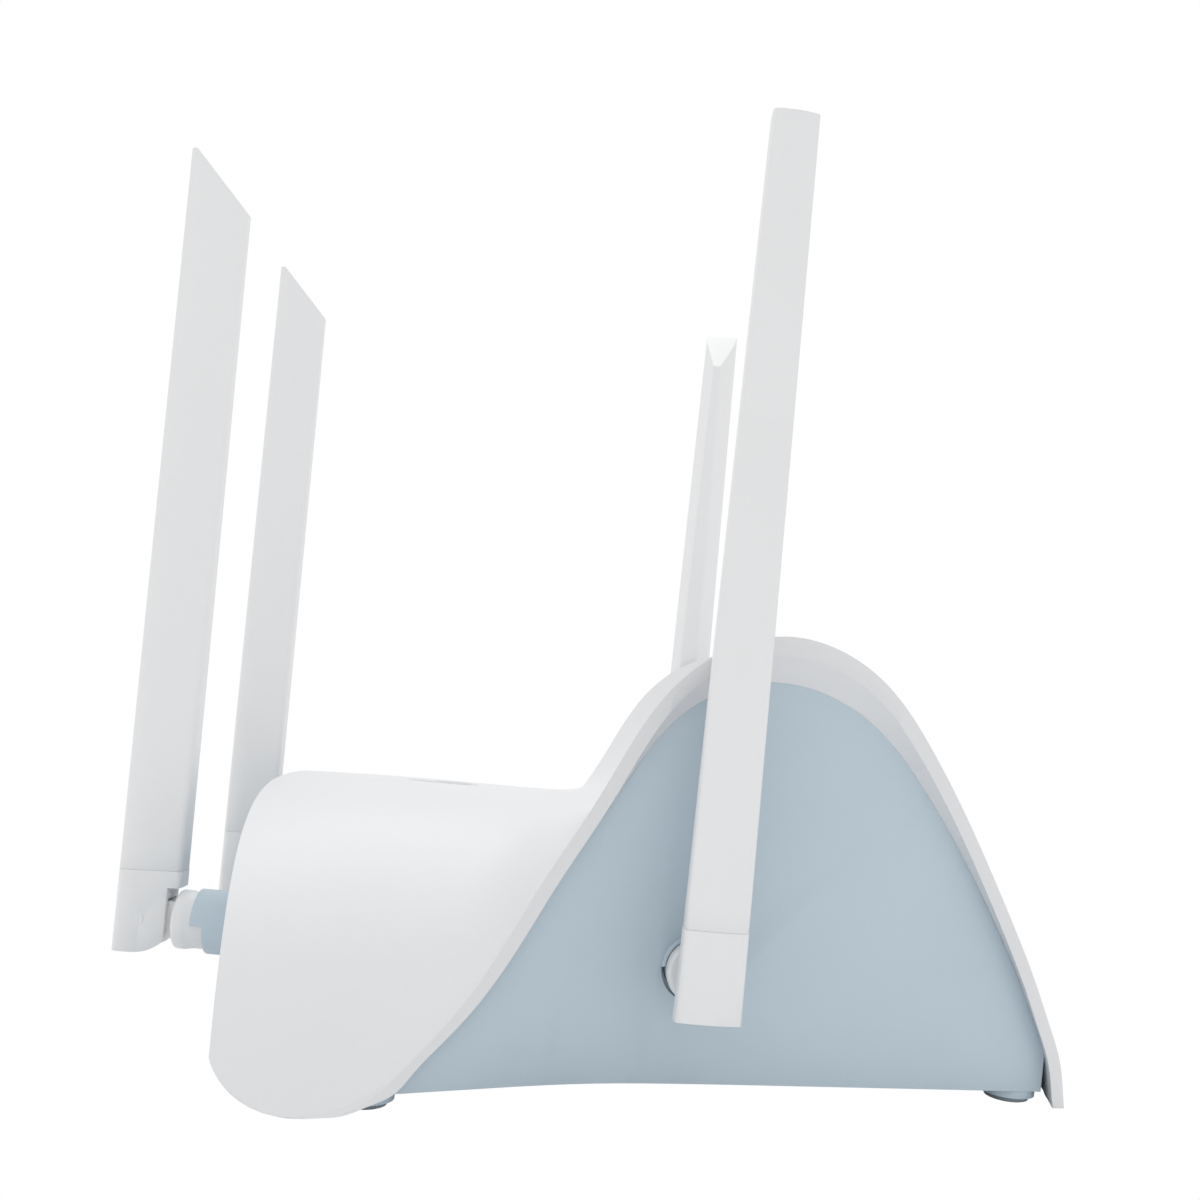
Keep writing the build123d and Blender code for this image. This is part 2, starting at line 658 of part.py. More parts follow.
with BuildPart() as swivel:
    with BuildSketch(Plane.XZ) as profile:
        clip_start = -collar_length - disc_gap
        with BuildLine():
            Polyline((disc_end, 0), (disc_end, disc_diameter / 2 - 0.5), (disc_end - 0.5, disc_diameter / 2),
                     (disc_start, disc_diameter / 2), (disc_gap, stem_diameter / 2), (-stem_length, stem_diameter / 2),
                     (-stem_length, shaft_diameter / 2), (clip_start, shaft_diameter / 2),
                     (clip_start, clip_diameter / 2), (clip_start - clip_thickness, clip_diameter / 2 - 1.0),
                     (clip_start - clip_thickness, 0), close=True)
        make_face()
    revolve(axis=Axis.X)
    with BuildSketch(Plane.XZ):
        with Locations((neck_reach, 0)):
            Circle(tongue_height / 2)
        with Locations(((disc_end + neck_reach) / 2 - 0.5, 0)):
            Rectangle(neck_reach - disc_end + 1.0, tongue_height)
    extrude(amount=tongue_width / 2, both=True)
    with BuildSketch(Plane.XZ):
        with Locations((neck_reach, 0)):
            Circle(pin_diameter / 2 + pin_fit)
    extrude(amount=tongue_width, both=True, mode=Mode.SUBTRACT)
    with BuildSketch(Plane.YZ.offset(clip_start - clip_thickness)):
        Circle(lead_bore / 2)
    extrude(amount=disc_start - clip_start + clip_thickness, mode=Mode.SUBTRACT)

with BuildPart() as collar:
    with BuildSketch(Plane.YZ):
        Circle(collar_diameter / 2)
    extrude(amount=-collar_length)
    with BuildSketch(Plane.YZ):
        Circle(stem_diameter / 2 + shaft_fit)
    extrude(amount=-stem_length - disc_gap, mode=Mode.SUBTRACT)
    with BuildSketch(Plane.YZ):
        Circle(shaft_diameter / 2 + shaft_fit)
    extrude(amount=-collar_length, mode=Mode.SUBTRACT)
    with BuildSketch(Plane.YZ):
        with Locations((0, -collar_diameter / 2)):
            Rectangle(2 * collar_diameter, collar_diameter)
    extrude(amount=-collar_notch, mode=Mode.SUBTRACT)

antenna_pieces = {"sleeve": sleeve, "radiator": radiator, "knuckle": knuckle, "hinge_pin": hinge_pin,
                  "swivel": swivel, "collar": collar}
for corner, frame in frames.items():
    for piece_name, builder in antenna_pieces.items():
        finish(builder, f"{corner}_{piece_name}", frame.location)

# ---- antenna leads: out of each shaft, over the board, down into its connector -------------------
connector_height = 2.0
connector_top = board_top + connector_height
connector_places = []
for corner, frame in frames.items():
    start = frame.from_local_coords((-0.6 * collar_length, 0, 0))
    leave = frame.from_local_coords((-collar_length - lead_reach, 0, 0))
    if corner.startswith("rear"):
        landing = Vector(leave.X + 10.0, leave.Y, connector_top)
        route = [start, Vector(landing.X, leave.Y, leave.Z), landing]
        bends = [lead_bend]
    else:
        landing = Vector(board_rear + board_length - 6.0, math.copysign(abs(leave.Y) - 3.0, leave.Y), connector_top)
        route = [start, leave, Vector(landing.X, landing.Y, leave.Z - 2.0), landing]
        bends = [lead_bend, lead_bend]
    connector_places.append((landing.X, landing.Y))
    with BuildPart() as lead:
        with BuildLine() as path:
            FilletPolyline(*route, radius=bends)
        with BuildSketch(Plane(origin=path.line @ 0, z_dir=path.line % 0)):
            Circle(lead_diameter / 2)
        sweep()
    finish(lead, f"{corner}_lead")

with BuildPart() as antenna_connectors:
    with BuildSketch(Plane.XY.offset(board_top)):
        with Locations(*connector_places):
            Circle(1.3)
    extrude(amount=connector_height)
finish(antenna_connectors, "antenna_connectors")
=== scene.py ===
"""Four-antenna Wi-Fi router with a saddle-shaped white cover, built round its CAD frame. Metres, +Z up."""

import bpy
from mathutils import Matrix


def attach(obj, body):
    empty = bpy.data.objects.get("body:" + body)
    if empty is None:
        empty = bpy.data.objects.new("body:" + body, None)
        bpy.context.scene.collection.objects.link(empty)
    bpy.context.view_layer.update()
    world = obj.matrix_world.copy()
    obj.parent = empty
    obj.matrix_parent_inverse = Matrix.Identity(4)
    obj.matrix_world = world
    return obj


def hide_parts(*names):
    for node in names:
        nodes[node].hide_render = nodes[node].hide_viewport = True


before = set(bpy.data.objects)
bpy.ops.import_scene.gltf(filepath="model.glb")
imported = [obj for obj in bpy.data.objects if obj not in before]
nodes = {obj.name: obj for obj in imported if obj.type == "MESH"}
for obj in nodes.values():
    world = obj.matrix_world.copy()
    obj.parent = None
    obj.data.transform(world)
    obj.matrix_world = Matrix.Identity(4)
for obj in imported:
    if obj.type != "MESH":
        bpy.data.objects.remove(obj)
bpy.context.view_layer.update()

import math

import bmesh
import bpy
import numpy as np
from mathutils import Matrix, Vector

MM = 0.001
scene = bpy.context.scene

# ---- Camera, lamp and floor -----------------------------------------------------------------
# The router is seen from its right side, level with the tops of its arches and slightly rolled.
# One large soft lamp and a white room keep the shadows faint, and a pale floor returns light.
roll = math.radians(5.6)
camera_data = bpy.data.cameras.new("camera")
camera_data.lens = 39.0
camera_data.sensor_width = 36.0
camera_data.shift_x = -0.0022
camera_data.shift_y = 0.0806
camera_data.clip_start = 0.01
camera = bpy.data.objects.new("camera", camera_data)
scene.collection.objects.link(camera)
camera.matrix_world = Matrix((
    (math.cos(roll), -math.sin(roll), 0.0, -0.0067),
    (0.0, 0.0, -1.0, -0.3214),
    (math.sin(roll), math.cos(roll), 0.0, 0.079),
    (0.0, 0.0, 0.0, 1.0)))
scene.camera = camera

world = bpy.data.worlds.new("white_room")
world.use_nodes = True
room = world.node_tree
room_light = room.nodes["Background"]
backdrop = room.nodes.new("ShaderNodeBackground")
for glow, strength in ((room_light, 0.88), (backdrop, 1.0)):
    glow.inputs["Color"].default_value = (1.0, 1.0, 1.0, 1.0)
    glow.inputs["Strength"].default_value = strength
ray = room.nodes.new("ShaderNodeLightPath")
either = room.nodes.new("ShaderNodeMixShader")
for start, end in (
        (ray.outputs["Is Camera Ray"], either.inputs[0]), (room_light.outputs[0], either.inputs[1]),
        (backdrop.outputs[0], either.inputs[2]),
        (either.outputs[0], room.nodes["World Output"].inputs["Surface"])):
    room.links.new(start, end)
scene.world = world
scene.view_settings.view_transform = "Standard"
scene.view_settings.look = "None"


def add_lamp(name, place, aim, size, power):
    """A large square soft lamp at place, turned towards aim."""
    lamp = bpy.data.lights.new(name, "AREA")
    lamp.size = size
    lamp.energy = power
    holder = bpy.data.objects.new(name, lamp)
    holder.location = place
    holder.rotation_euler = (Vector(aim) - Vector(place)).to_track_quat("-Z", "Y").to_euler()
    scene.collection.objects.link(holder)


add_lamp("top_lamp", (-0.1, 0.45, 1.2), (0.0, 0.0, 0.05), 0.9, 4.5)

floor_mesh = bpy.data.meshes.new("floor")
half_floor = 30.0
floor_mesh.from_pydata([(x * half_floor, y * half_floor, 0) for x, y in ((-1, -1), (1, -1), (1, 1), (-1, 1))],
                       [], [(0, 1, 2, 3)])
floor = bpy.data.objects.new("floor", floor_mesh)
scene.collection.objects.link(floor)
floor_paper = bpy.data.materials.new("floor_paper")
floor_paper.use_nodes = True
paper_shader = floor_paper.node_tree.nodes["Principled BSDF"]
paper_shader.inputs["Base Color"].default_value = (0.93, 0.93, 0.935, 1.0)
paper_shader.inputs["Roughness"].default_value = 0.9
floor_mesh.materials.append(floor_paper)
floor.visible_camera = False

# ---- Top cover ------------------------------------------------------------------------------
# One injection-moulded white shell. Its middle runs level from the rear, then falls to the front
# lip, while both sides sweep up into arches and the two rear corners droop to the ground.
cover_front, cover_rear, rear_edge_radius = 113.0, 75.0, 350.0
arch_height, saddle_height = 94.6, 54.0
cross_power, cover_wall, side_thinning = 2.5, 2.7, 0.35
bend_x, bend_half_width, bend_length, front_taper, rear_taper = 5.0, 67.2, 12.0, 0.25, 0.55
lobe_radius, lobe_rear, floor_gap = 20.0, 64.0, 0.5
lobe_back_height, lobe_back_slope = 22.0, 0.794
recess_x, recess_half_length, recess_half_width, recess_edge, recess_depth = -37.0, 5.0, 3.7, 0.6, 1.25
# The frame's middle is halfway between the front lip and the rear blades' outer faces.
rear_mount_x, blade_face = -82.7, 16.8
object_middle = (cover_front + rear_mount_x - blade_face) / 2
# The side edge, the middle line and the lobes' thinned edge, as shares of the cover's reach to
# the front or the rear, and shares of the arch's or the saddle's height.
rim_line = [(-1.20, 0.19), (-0.85, 0.05), (-0.66, 0.004), (-0.54, 0.006), (-0.463, 0.032), (-0.407, 0.074),
            (-0.314, 0.161), (-0.253, 0.228), (-0.107, 0.449), (0.010, 0.627), (0.133, 0.884), (0.31, 1.0),
            (0.50, 0.934), (0.607, 0.800), (0.703, 0.632), (0.789, 0.459), (0.869, 0.283), (0.904, 0.194),
            (0.935, 0.104), (0.946, 0.040), (0.957, -0.030), (0.99, -0.22), (1.06, -0.60)]
saddle_line = [(-1.20, 0.960), (-0.63, 1.0), (0.0, 1.0), (0.265, 0.985), (0.53, 0.93), (0.752, 0.78),
               (0.885, 0.50), (0.955, 0.25), (1.0, 0.018), (1.06, -0.36)]
trim_line = [(-0.58, 0.0053), (-0.50, 0.0095), (-0.468, 0.019), (-0.403, 0.043), (-0.371, 0.075),
             (-0.311, 0.132), (-0.249, 0.191), (-0.107, 0.385)]


def spline_through(stations, height):
    """Dense points of the smooth cubic line through shares of reach and height."""
    points = np.array([(share * (cover_front if share > 0 else cover_rear), z * height)
                       for share, z in stations])
    at = np.concatenate([[0], np.cumsum(np.linalg.norm(np.diff(points, axis=0), axis=1))])
    step = np.diff(at)
    count = len(at)
    system = np.eye(count)
    pull = np.zeros((count, 2))
    for i in range(1, count - 1):
        system[i, i - 1:i + 2] = step[i - 1], 2 * (step[i - 1] + step[i]), step[i]
        pull[i] = 6 * ((points[i + 1] - points[i]) / step[i] - (points[i] - points[i - 1]) / step[i - 1])
    bend = np.linalg.solve(system, pull)
    dense = []
    for i in range(count - 1):
        u = np.linspace(0, step[i], 60, endpoint=i == count - 2)[:, None]
        v = step[i] - u
        dense.append(bend[i] * v ** 3 / (6 * step[i]) + bend[i + 1] * u ** 3 / (6 * step[i])
                     + (points[i] / step[i] - bend[i] * step[i] / 6) * v
                     + (points[i + 1] / step[i] - bend[i + 1] * step[i] / 6) * u)
    return np.concatenate(dense)


rim_dense = spline_through(rim_line, arch_height)
saddle_dense = spline_through(saddle_line, saddle_height)
trim_dense = spline_through(trim_line, arch_height)


def rim_height(x):
    """Height of the side edge at x."""
    return np.interp(x, rim_dense[:, 0], rim_dense[:, 1])


def middle_height(x):
    """Height of the middle line at x."""
    return np.interp(x, saddle_dense[:, 0], saddle_dense[:, 1])


def half_width(x):
    """Half width of the cover at x: two tapers joined by a soft bend."""
    run = x - bend_x
    mean_taper, taper_change = (rear_taper + front_taper) / 2, (rear_taper - front_taper) / 2
    return bend_half_width - mean_taper * run + taper_change * np.hypot(run, bend_length)


def crown(x, across):
    """Height of the upper face; across is 0 in the middle and 1 at the side edge."""
    return middle_height(x) + (rim_height(x) - middle_height(x)) * np.abs(across) ** cross_power


def recess(x, y):
    """Depth of the status recess on the ridge."""
    beyond = np.hypot(np.maximum(np.abs(x - recess_x) - recess_half_length, 0.0), y)
    return recess_depth * np.clip((recess_half_width - beyond) / recess_edge, 0.0, 1.0)


def lowest(x):
    """Lowest height of the cover at x: its rounded rear lobes, their thinned edge, the ground gap."""
    behind = np.clip(lobe_radius - lobe_rear - x, 0.0, lobe_radius)
    rounding = floor_gap + lobe_radius - np.sqrt(lobe_radius ** 2 - behind ** 2)
    above_lobe = lobe_back_height + lobe_back_slope * (-lobe_rear - x)
    thinned = np.interp(x, trim_dense[:, 0], trim_dense[:, 1], left=floor_gap, right=floor_gap)
    return np.where(x < -lobe_rear, above_lobe, np.maximum(rounding, thinned))


def ceiling(x, across):
    """Height of the cover's inner face: a ball as wide as the wall rolls along the outer face."""
    side = np.abs(across) ** (cross_power - 1)
    side_slope = cross_power * (rim_height(x) - middle_height(x)) / half_width(x) * side
    swell = np.sqrt(1 + side_thinning * side_slope ** 2)
    turns = np.radians(np.arange(-90.0, 91.0, 15.0))
    return np.min([crown(x + cover_wall * math.sin(turn), across) - swell * cover_wall * math.cos(turn)
                   for turn in turns], axis=0)


def cover_row(across, steps):
    """Upper and lower points of one line of the cover, from its rear edge to its front lip."""
    samples = 24001
    x = np.linspace(-1.1 * cover_rear, 1.02 * cover_front, samples)
    y = across * half_width(x)
    z = crown(x, across)
    inside = (x > y * y / (2 * rear_edge_radius) - cover_rear) & (z > lowest(x))
    kept = np.nonzero(inside)[0]
    x, z = x[kept[0]:kept[-1] + 1], z[kept[0]:kept[-1] + 1]
    # Points stand up to three times closer together where the line crosses the recess.
    near_recess = np.exp(-((x - recess_x) / 9.5) ** 2) * (abs(across) < 0.08)
    weight = 1.0 + 2.0 * near_recess
    walked = np.concatenate([[0.0], np.cumsum(np.hypot(np.diff(x), np.diff(z)) * weight[1:])])
    x = np.interp(np.linspace(0.0, walked[-1], steps), walked, x)
    y = across * half_width(x)
    z = crown(x, across)
    under = np.minimum(np.maximum(ceiling(x, across), lowest(x)), z)
    upper = np.stack([x - object_middle, y, z - recess(x, y)], axis=1) * MM
    lower = np.stack([x - object_middle, y, under], axis=1) * MM
    return upper, lower


steps, wide_rows, recess_rows, recess_share = 191, 117, 30, 0.058
acrosses = np.unique(np.concatenate([np.sin(np.linspace(-math.pi / 2, math.pi / 2, wide_rows)),
                                     np.linspace(-recess_share, recess_share, recess_rows)]))
rows = len(acrosses)
grid = [cover_row(across, steps) for across in acrosses]
cover_shape = bmesh.new()
upper_verts = [[cover_shape.verts.new(point) for point in upper] for upper, lower in grid]
lower_verts = [[cover_shape.verts.new(point) for point in lower] for upper, lower in grid]
for j in range(rows - 1):
    for i in range(steps - 1):
        cover_shape.faces.new((upper_verts[j][i], upper_verts[j][i + 1], upper_verts[j + 1][i + 1],
                               upper_verts[j + 1][i]))
        cover_shape.faces.new((lower_verts[j][i], lower_verts[j + 1][i], lower_verts[j + 1][i + 1],
                               lower_verts[j][i + 1]))
loop_ends = ([(0, i) for i in range(steps)] + [(j, steps - 1) for j in range(1, rows)]
             + [(rows - 1, i) for i in range(steps - 2, -1, -1)] + [(j, 0) for j in range(rows - 2, 0, -1)])
for (j, i), (jj, ii) in zip(loop_ends, loop_ends[1:] + loop_ends[:1]):
    cover_shape.faces.new((upper_verts[j][i], lower_verts[j][i], lower_verts[jj][ii], upper_verts[jj][ii]))
bmesh.ops.remove_doubles(cover_shape, verts=cover_shape.verts, dist=1e-6)
bmesh.ops.recalc_face_normals(cover_shape, faces=cover_shape.faces)
for face in cover_shape.faces:
    face.smooth = True
cover_mesh = bpy.data.meshes.new("cover_shell")
cover_shape.to_mesh(cover_mesh)
cover_shape.free()
cover_shell = bpy.data.objects.new("cover_shell", cover_mesh)
scene.collection.objects.link(cover_shell)


def round_edges(piece, width, segments=3, angle=35.0):
    """Round a moulded or machined piece's sharp edges, and keep its flat faces flat."""
    bevel = piece.modifiers.new("edge_radius", "BEVEL")
    bevel.width = width
    bevel.segments = segments
    bevel.limit_method = "ANGLE"
    bevel.angle_limit = math.radians(angle)
    bevel.harden_normals = True
    bevel.use_clamp_overlap = True


round_edges(cover_shell, 0.55 * MM, angle=50.0)


def new_group(name, inputs, outputs):
    """An empty shader node group with named sockets."""
    group = bpy.data.node_groups.new(name, "ShaderNodeTree")
    for socket_name, socket_type, value in inputs:
        socket = group.interface.new_socket(socket_name, in_out="INPUT", socket_type=socket_type)
        socket.default_value = value
    for socket_name, socket_type in outputs:
        group.interface.new_socket(socket_name, in_out="OUTPUT", socket_type=socket_type)
    return group, group.nodes.new("NodeGroupInput"), group.nodes.new("NodeGroupOutput")


# Moulded plastic has a fine even grain from the spark-eroded mould, a very slight flow mottle in
# its colour, and handling that polishes or dulls it in soft patches.
moulded_grain, given, result = new_group(
    "moulded_grain",
    [("Colour", "NodeSocketColor", (0.8, 0.8, 0.8, 1.0)), ("Grain Size", "NodeSocketFloat", 1500.0),
     ("Grain Depth", "NodeSocketFloat", 0.2), ("Roughness", "NodeSocketFloat", 0.4),
     ("Mottle", "NodeSocketFloat", 0.03)],
    [("Colour", "NodeSocketColor"), ("Roughness", "NodeSocketFloat"), ("Normal", "NodeSocketVector")])
place = moulded_grain.nodes.new("ShaderNodeTexCoord")
grain = moulded_grain.nodes.new("ShaderNodeTexNoise")
grain.inputs["Detail"].default_value = 2.0
patches = moulded_grain.nodes.new("ShaderNodeTexNoise")
patches.inputs["Scale"].default_value = 28.0
patches.inputs["Detail"].default_value = 3.0
shade = moulded_grain.nodes.new("ShaderNodeMapRange")
shade.inputs["From Min"].default_value = 0.3
shade.inputs["From Max"].default_value = 0.7
darkest = moulded_grain.nodes.new("ShaderNodeMath")
darkest.operation = "SUBTRACT"
darkest.inputs[0].default_value = 1.0
tint = moulded_grain.nodes.new("ShaderNodeVectorMath")
tint.operation = "SCALE"
wear = moulded_grain.nodes.new("ShaderNodeMath")
wear.operation = "MULTIPLY_ADD"
wear.inputs[1].default_value = 0.16
offset = moulded_grain.nodes.new("ShaderNodeMath")
offset.operation = "SUBTRACT"
offset.inputs[1].default_value = 0.08
bump = moulded_grain.nodes.new("ShaderNodeBump")
bump.inputs["Distance"].default_value = 0.0001
for start, end in (
        (place.outputs["Object"], grain.inputs["Vector"]), (place.outputs["Object"], patches.inputs["Vector"]),
        (given.outputs["Grain Size"], grain.inputs["Scale"]), (patches.outputs["Fac"], shade.inputs["Value"]),
        (given.outputs["Mottle"], darkest.inputs[1]), (darkest.outputs[0], shade.inputs["To Min"]),
        (given.outputs["Colour"], tint.inputs[0]), (shade.outputs["Result"], tint.inputs["Scale"]),
        (tint.outputs["Vector"], result.inputs["Colour"]), (given.outputs["Roughness"], offset.inputs[0]),
        (patches.outputs["Fac"], wear.inputs[0]), (offset.outputs[0], wear.inputs[2]),
        (wear.outputs[0], result.inputs["Roughness"]), (given.outputs["Grain Depth"], bump.inputs["Strength"]),
        (grain.outputs["Fac"], bump.inputs["Height"]), (bump.outputs["Normal"], result.inputs["Normal"])):
    moulded_grain.links.new(start, end)


def moulded_plastic(name, colour, roughness, grain_size, grain_depth, mottle, subsurface=0.0, metallic=0.0):
    """A moulded finish: the grain group with this piece's values, in front of a Principled shader."""
    material = bpy.data.materials.new(name)
    material.use_nodes = True
    shader = material.node_tree.nodes["Principled BSDF"]
    shader.inputs["IOR"].default_value = 1.5
    shader.inputs["Metallic"].default_value = metallic
    shader.inputs["Subsurface Weight"].default_value = subsurface
    shader.inputs["Subsurface Radius"].default_value = (0.002, 0.002, 0.002)
    skin = material.node_tree.nodes.new("ShaderNodeGroup")
    skin.node_tree = moulded_grain
    skin.inputs["Colour"].default_value = (*colour, 1.0)
    skin.inputs["Roughness"].default_value = roughness
    skin.inputs["Grain Size"].default_value = grain_size
    skin.inputs["Grain Depth"].default_value = grain_depth
    skin.inputs["Mottle"].default_value = mottle
    links = material.node_tree.links
    links.new(skin.outputs["Colour"], shader.inputs["Base Color"])
    links.new(skin.outputs["Roughness"], shader.inputs["Roughness"])
    links.new(skin.outputs["Normal"], shader.inputs["Normal"])
    return material


cover_white = moulded_plastic("cover_white", (0.765, 0.772, 0.785), 0.42, 1400.0, 0.16, 0.02)
cover_mesh.materials.append(cover_white)
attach(cover_shell, "root")
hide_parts("top_cover")

# ---- Wall and base ----------------------------------------------------------------------------
# The blue-grey wall stands in from the cover's edge all round. It and the flat base are injection
# moulded with a slightly coarser grain, and the base drops in from below onto a ledge.


def finish_node(name, material, radius=0.0, angle=30.0):
    """Give a frame piece its material and, where it has one, join its triangles and round its edges."""
    piece = nodes[name]
    piece.data.materials.clear()
    piece.data.materials.append(material)
    if radius:
        weld = piece.modifiers.new("weld", "WELD")
        weld.merge_threshold = 0.000005
        flatten = piece.modifiers.new("flatten", "DECIMATE")
        flatten.decimate_type = "DISSOLVE"
        flatten.angle_limit = math.radians(0.6)
        round_edges(piece, radius, segments=2, angle=angle)


wall_blue = moulded_plastic("wall_blue", (0.53, 0.628, 0.70), 0.5, 1300.0, 0.22, 0.025)
finish_node("wall_shell", wall_blue, 0.3 * MM)
finish_node("base_plate", wall_blue, 0.2 * MM)

# ---- Feet -------------------------------------------------------------------------------------
# Four soft grey rubber pads, moulded with a rounded lower edge and a shallow dished face, are glued
# under the base's plinths. They are copies of one pad at each plinth.


def turned(name, profile, segments=40):
    """A round piece about Z from its profile of (radius, height) points, both ends on the axis."""
    shape = bmesh.new()
    rings = []
    for radius, height in profile:
        if radius == 0:
            rings.append([shape.verts.new((0, 0, height * MM))])
        else:
            rings.append([shape.verts.new((radius * math.cos(2 * math.pi * k / segments) * MM,
                                           radius * math.sin(2 * math.pi * k / segments) * MM, height * MM))
                          for k in range(segments)])
    for low, high in zip(rings, rings[1:]):
        for k in range(segments):
            corners = [low[k % len(low)], low[(k + 1) % len(low)],
                       high[(k + 1) % len(high)], high[k % len(high)]]
            shape.faces.new(list(dict.fromkeys(corners)))
    bmesh.ops.recalc_face_normals(shape, faces=shape.faces)
    for face in shape.faces:
        face.smooth = True
    mesh = bpy.data.meshes.new(name)
    shape.to_mesh(mesh)
    shape.free()
    return mesh


pieces_on_points = bpy.data.node_groups.new("pieces_on_points", "GeometryNodeTree")
pieces_on_points.interface.new_socket("Geometry", in_out="INPUT", socket_type="NodeSocketGeometry")
pieces_on_points.interface.new_socket("Piece", in_out="INPUT", socket_type="NodeSocketObject")
pieces_on_points.interface.new_socket("Material", in_out="INPUT", socket_type="NodeSocketMaterial")
pieces_on_points.interface.new_socket("Geometry", in_out="OUTPUT", socket_type="NodeSocketGeometry")
put_in = pieces_on_points.nodes.new("NodeGroupInput")
put_out = pieces_on_points.nodes.new("NodeGroupOutput")
chosen = pieces_on_points.nodes.new("GeometryNodeObjectInfo")
copies = pieces_on_points.nodes.new("GeometryNodeInstanceOnPoints")
realised = pieces_on_points.nodes.new("GeometryNodeRealizeInstances")
painted = pieces_on_points.nodes.new("GeometryNodeSetMaterial")
for start, end in (
        (put_in.outputs["Geometry"], copies.inputs["Points"]),
        (put_in.outputs["Piece"], chosen.inputs["Object"]),
        (chosen.outputs["Geometry"], copies.inputs["Instance"]),
        (copies.outputs["Instances"], realised.inputs["Geometry"]),
        (realised.outputs["Geometry"], painted.inputs["Geometry"]),
        (put_in.outputs["Material"], painted.inputs["Material"]),
        (painted.outputs["Geometry"], put_out.inputs["Geometry"])):
    pieces_on_points.links.new(start, end)
socket_id = {item.name: item.identifier for item in pieces_on_points.interface.items_tree
             if item.in_out == "INPUT"}


def copies_at(name, piece_mesh, places, material):
    """Copies of one piece at each place (millimetres, as drawn), made into one plain mesh."""
    source = bpy.data.objects.new(name + "_source", piece_mesh)
    scene.collection.objects.link(source)
    points = bpy.data.meshes.new(name + "_places")
    points.from_pydata([((x - object_middle) * MM, y * MM, z * MM) for x, y, z in places], [], [])
    host = bpy.data.objects.new(name, points)
    scene.collection.objects.link(host)
    modifier = host.modifiers.new("copies", "NODES")
    modifier.node_group = pieces_on_points
    modifier[socket_id["Piece"]] = source
    modifier[socket_id["Material"]] = material
    made = host.evaluated_get(bpy.context.evaluated_depsgraph_get())
    plain = bpy.data.meshes.new_from_object(made)
    host.modifiers.remove(modifier)
    host.data = plain
    bpy.data.objects.remove(source)
    return host


foot_rubber = moulded_plastic("foot_rubber", (0.30, 0.345, 0.385), 0.75, 900.0, 0.35, 0.06)
foot_pad = turned("foot_pad", [(0, 0.15), (3.2, 0.1), (3.7, 0.0), (4.3, 0.0), (4.65, 0.15), (4.8, 0.5),
                               (4.8, 1.2), (0, 1.2)])
foot_inset = 9.6
foot_places = [(x, side * (half_width(x) - foot_inset), 0.0)
               for x in (-0.493 * cover_rear, 0.859 * cover_front) for side in (1, -1)]
foot_pads = copies_at("foot_pads", foot_pad, foot_places, foot_rubber)
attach(foot_pads, "root")
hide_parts("feet")

# ---- Antenna blades -----------------------------------------------------------------------------
# Each blade is a white moulded sleeve over its aerial: a flat crowned face outwards, both sides
# drawn in to a narrow ridge, the tip cut off at a slant, all edges softly rounded.
antenna_length, pin_from_bottom, seam_height, seam_step = 172.5, 6.9, 17.5, 0.12
blade_bottom = -pin_from_bottom
blade_top, seam = blade_bottom + antenna_length, blade_bottom + seam_height
blade_depth, foot_width, tip_width, blade_crown = 13.0, 13.0, 9.2, 0.7
ridge_foot, ridge_tip, side_depth, side_draw, corner_radius = 6.4, 1.8, 3.8, 0.98, 2.0
tip_flat, tip_length, tip_slope = 1.8, 30.0, math.radians(47.0)


def blade_ring(z, inset=0.0):
    """Closed outline of the blade at height z: a crowned face, two drawn-in sides and a narrow ridge."""
    share = (z - blade_bottom) / antenna_length
    half = (foot_width + (tip_width - foot_width) * share) / 2 - inset
    ridge_share = max(0.0, (z - seam) / (blade_top - seam))
    ridge = (ridge_foot + (ridge_tip - ridge_foot) * ridge_share) / 2 - inset
    face, back = blade_face - inset, blade_face - blade_depth + inset
    crown_line = [(face - blade_crown * part ** 2, half * part)
                  for part in (-1.0, -0.7, -0.45, -0.2, 0.0, 0.2, 0.45, 0.7, 1.0)]
    corners = [(point, 0.0) for point in crown_line]
    corners[0], corners[-1] = (crown_line[0], corner_radius), (crown_line[-1], corner_radius)
    corners += [((face - side_depth, side_draw * half), corner_radius), ((back, ridge), 0.45 * ridge),
                ((back, -ridge), 0.45 * ridge), ((face - side_depth, -side_draw * half), corner_radius)]
    outline = []
    for k, (corner, cut) in enumerate(corners):
        here = Vector(corner)
        before, after = Vector(corners[k - 1][0]) - here, Vector(corners[(k + 1) % len(corners)][0]) - here
        if not cut:
            outline.append(here)
            continue
        first = here + before.normalized() * min(cut, 0.45 * before.length)
        last = here + after.normalized() * min(cut, 0.45 * after.length)
        outline += [(1 - t) ** 2 * first + 2 * t * (1 - t) * here + t ** 2 * last
                    for t in (0.0, 0.2, 0.4, 0.6, 0.8, 1.0)]
    return [(point.x * MM, point.y * MM, z * MM) for point in outline]


